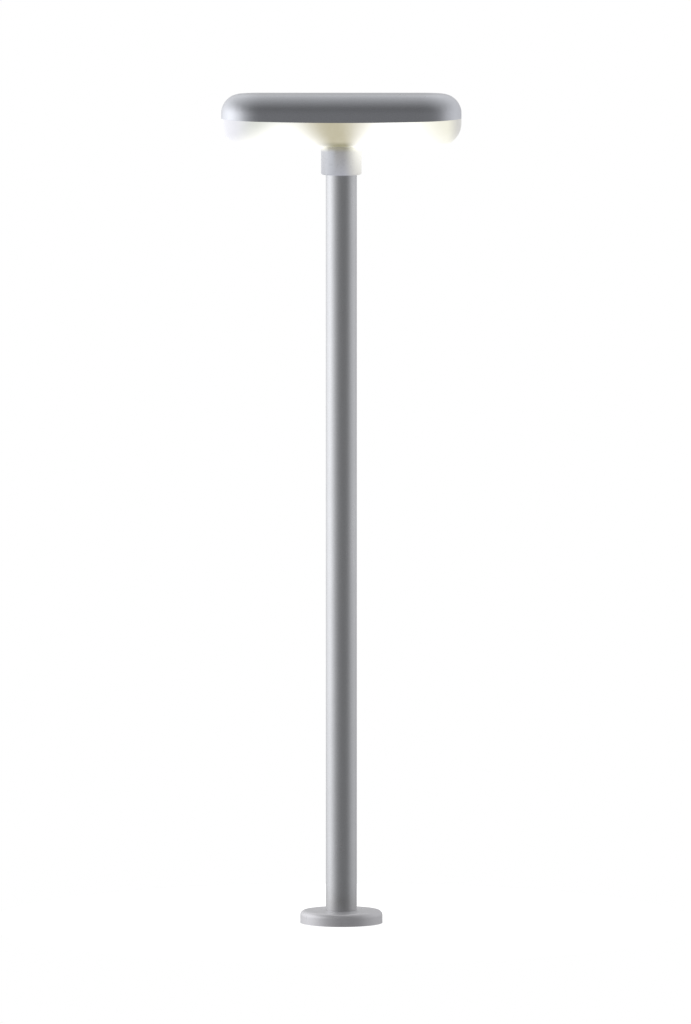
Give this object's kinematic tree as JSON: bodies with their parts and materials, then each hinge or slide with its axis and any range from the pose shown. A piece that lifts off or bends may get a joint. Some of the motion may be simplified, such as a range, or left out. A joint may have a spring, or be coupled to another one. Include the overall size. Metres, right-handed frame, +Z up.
{
  "type": "street lamp post",
  "caption": "Pedestrian street lamp post: round steel column on a bolted base flange with a cover disc, opal collar and a long rounded lamp head with a lit diffuser.",
  "frame": {"origin": "on the ground at the column's axis, the centre of the base flange's underside", "axes": "+Z up along the column, +X along the lamp head, the front faces -Y, the column's door and the cap's hinges are at +Y"},
  "size_m": [1.0808, 0.372, 3.75],
  "materials": {
    "column_paint": "fine metallic grey powder coat, satin",
    "base_paint": "silver powder coat, satin",
    "door_paint": "fine metallic grey powder coat, satin",
    "galvanised_steel": "hot-dip galvanised, dull",
    "stainless_steel": "satin stainless",
    "black_rubber": "matt",
    "white_silicone": "smooth, slightly translucent",
    "grey_plastic": "fine texture",
    "pale_plastic": "smooth",
    "black_plastic": "smooth",
    "brass": "plain",
    "cable_black": "cable sheath",
    "cap_aluminium": "fine metallic grey powder coat, satin",
    "chassis_aluminium": "plain cast and sheet aluminium",
    "opal_diffuser": "opal acrylic, lit from inside",
    "opal_collar": "opal acrylic, satin",
    "led_board": "white solder mask",
    "clear_optic": "clear moulded lens plate"
  },
  "bodies": {
    "column": {"base_flange": "galvanised_steel", "anchor_nut_1": "stainless_steel", "anchor_nut_2": "stainless_steel", "anchor_nut_3": "stainless_steel", "anchor_nut_4": "stainless_steel", "pole_tube": "column_paint", "door_frame": "galvanised_steel", "door_hinge_base": "stainless_steel", "door_hinge_pin": "stainless_steel", "equipment_rail": "galvanised_steel", "fuse_box": "grey_plastic", "fuse_box_lid": "grey_plastic", "fuse_carrier": "pale_plastic", "terminal_block": "pale_plastic", "earth_stud": "brass", "riser_cable": "cable_black", "riser_connector": "black_plastic", "spigot_plate": "column_paint", "spigot_tube": "galvanised_steel", "thrust_washer": "black_plastic"},
    "base_cover_body": {"base_cover": "base_paint", "base_cover_seal": "black_rubber"},
    "door": {"door_panel": "door_paint", "door_gasket": "black_rubber", "door_hinge_leaf": "stainless_steel"},
    "door_lock": {"door_lock_barrel": "stainless_steel", "door_lock_cam": "stainless_steel"},
    "collar": {"collar_sleeve": "opal_collar", "collar_seal": "black_rubber"},
    "head": {"neck_casting": "chassis_aluminium", "neck_clamp_screw_1": "stainless_steel", "neck_clamp_screw_2": "stainless_steel", "neck_clamp_screw_3": "stainless_steel", "head_chassis": "chassis_aluminium", "diffuser": "opal_diffuser", "diffuser_gasket": "white_silicone", "neck_gasket": "black_rubber", "cap_gasket": "white_silicone", "led_carrier_left": "chassis_aluminium", "led_carrier_right": "chassis_aluminium", "led_board_left": "led_board", "led_board_right": "led_board", "led_optic_left": "clear_optic", "led_optic_right": "clear_optic", "led_wire_left": "cable_black", "led_wire_right": "cable_black", "led_driver": "chassis_aluminium", "surge_protector": "grey_plastic", "head_terminal": "pale_plastic", "head_connector": "black_plastic", "head_cable": "cable_black", "cap_hinge_base_left": "stainless_steel", "cap_hinge_base_right": "stainless_steel", "cap_hinge_pin_left": "stainless_steel", "cap_hinge_pin_right": "stainless_steel", "cap_catch": "pale_plastic"},
    "cap": {"cap_shell": "cap_aluminium", "cap_hinge_leaf_left": "stainless_steel", "cap_hinge_leaf_right": "stainless_steel", "cap_strike": "stainless_steel"}
  },
  "joints": [
    {"name": "head_swivel", "type": "hinge", "parent": "column", "child": "head", "pos_m": [0, 0, 3.45], "axis": [0, 0, 1], "range_deg": [-90, 90]},
    {"name": "cap_hinge", "type": "hinge", "parent": "head", "child": "cap", "pos_m": [0, 0.178, 3.6285], "axis": [-1, 0, 0], "range_deg": [0, 100]},
    {"name": "collar_slide", "type": "slide", "parent": "column", "child": "collar", "axis": [0, 0, -1], "range_m": [0, 0.14]},
    {"name": "base_cover_lift", "type": "slide", "parent": "column", "child": "base_cover_body", "axis": [0, 0, 1], "range_m": [0, 0.3]},
    {"name": "door_tilt", "type": "hinge", "parent": "column", "child": "door", "pos_m": [0, 0.076, 0.597], "axis": [-1, 0, 0], "range_deg": [0, 60]},
    {"name": "door_lock_turn", "type": "hinge", "parent": "door", "child": "door_lock", "pos_m": [0, 0.066, 0.977], "axis": [0, -1, 0], "range_deg": [0, 90]}
  ]
}
